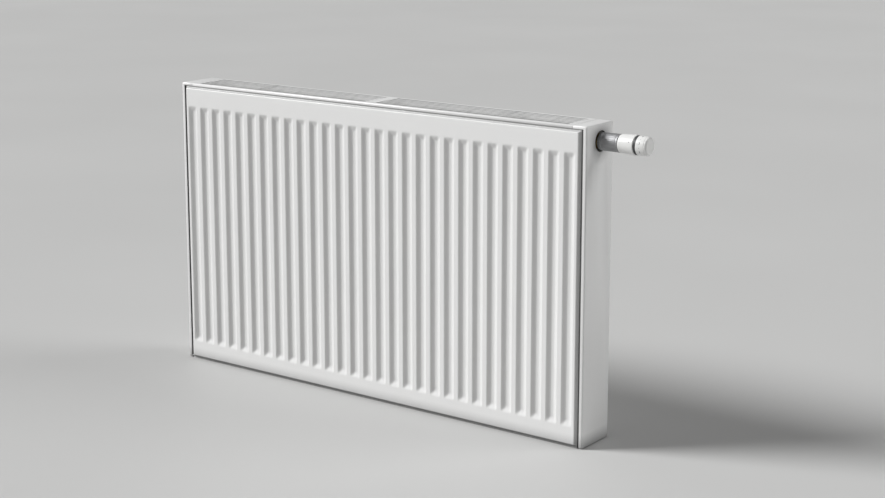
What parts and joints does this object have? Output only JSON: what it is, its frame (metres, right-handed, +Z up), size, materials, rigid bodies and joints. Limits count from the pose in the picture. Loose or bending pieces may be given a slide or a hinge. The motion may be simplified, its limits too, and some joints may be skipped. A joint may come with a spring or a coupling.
{
  "type": "radiator with valve",
  "caption": "Ribbed steel panel radiator with casing, convectors, bottom pipe nipples and a built-in thermostatic valve whose head stands out of the side cover.",
  "frame": {"origin": "centre of the pattern of four hanging lugs, in the plane of the lugs' rear faces, where the wall brackets hold them", "axes": "+X along the radiator towards the thermostatic head, +Y from the room to the wall, +Z up"},
  "size_m": [1.1015, 0.108, 0.6],
  "materials": {
    "enamel": "satin",
    "enamel_inside": "satin",
    "nickel": "satin",
    "steel": "satin",
    "brass": "satin",
    "aluminium": "satin",
    "rubber": "matte",
    "white_plastic": "gloss",
    "dark_plastic": "matte"
  },
  "bodies": {
    "radiator": {"air_vent_plug": "nickel", "air_vent_seal": "rubber", "blind_plug_left": "nickel", "blind_plug_right": "nickel", "blind_plug_seal_left": "rubber", "blind_plug_seal_right": "rubber", "bottom_left_tee": "enamel_inside", "bottom_right_return_tee": "enamel_inside", "front_convector": "enamel_inside", "front_panel_back_sheet": "enamel_inside", "front_panel_front_sheet": "enamel", "gland_nut": "brass", "gland_o_ring": "rubber", "grille_clip_left": "steel", "grille_clip_right": "steel", "hanging_lug_lower_left": "enamel", "hanging_lug_lower_right": "enamel", "hanging_lug_upper_left": "enamel", "hanging_lug_upper_right": "enamel", "head_base": "white_plastic", "left_side_cover": "enamel", "nipple_stay": "steel", "overtravel_spring": "steel", "range_clip_high": "dark_plastic", "range_clip_low": "dark_plastic", "rear_convector": "enamel_inside", "rear_panel_back_sheet": "enamel", "rear_panel_front_sheet": "enamel_inside", "retaining_ring": "steel", "right_side_cover": "enamel", "riser_pipe": "enamel_inside", "stop_ring": "dark_plastic", "supply_nipple": "nickel", "top_grille": "enamel", "top_left_tee": "enamel_inside", "union_nut": "nickel", "valve_housing": "enamel_inside", "valve_insert_body": "brass", "valve_insert_o_ring": "rubber", "valve_spring": "steel"},
    "dial": {"dial": "white_plastic", "dial_cap": "white_plastic"},
    "sensor": {"sensor_capsule": "aluminium"},
    "spindle": {"valve_spindle": "steel", "valve_cone": "brass", "valve_seal_disc": "rubber"},
    "presetting": {"presetting_ring": "dark_plastic"},
    "bleed_screw": {"bleed_screw": "brass"},
    "vent_outlet": {"air_vent_outlet": "white_plastic"}
  },
  "joints": [
    {"name": "dial_turn", "type": "hinge", "parent": "radiator", "child": "dial", "pos_m": [0.5795, -0.055, 0.268], "axis": [1, 0, 0], "range_deg": [-165, 110]},
    {"name": "sensor_slide", "type": "slide", "parent": "radiator", "child": "sensor", "axis": [1, 0, 0], "range_m": [-0.0022, 0.0015], "deforming": ["overtravel_spring"]},
    {"name": "spindle_slide", "type": "slide", "parent": "radiator", "child": "spindle", "axis": [1, 0, 0], "range_m": [-0.0022, 0.0015], "deforming": ["valve_spring"]},
    {"name": "presetting_turn", "type": "hinge", "parent": "radiator", "child": "presetting", "pos_m": [0.5139, -0.055, 0.268], "axis": [1, 0, 0], "range_deg": [-315, 0]},
    {"name": "bleed_screw_turn", "type": "hinge", "parent": "radiator", "child": "bleed_screw", "pos_m": [-0.495, -0.058, 0.268], "axis": [-1, 0, 0], "range_deg": [0, 240]},
    {"name": "vent_outlet_swivel", "type": "hinge", "parent": "radiator", "child": "vent_outlet", "pos_m": [-0.495, -0.058, 0.268], "axis": [-1, 0, 0], "continuous": true}
  ],
  "couplings": [
    {"joint": "sensor_slide", "follows": "dial_turn", "m_per_rad": 0.00075},
    {"joint": "spindle_slide", "follows": "dial_turn", "m_per_rad": 0.00075}
  ]
}
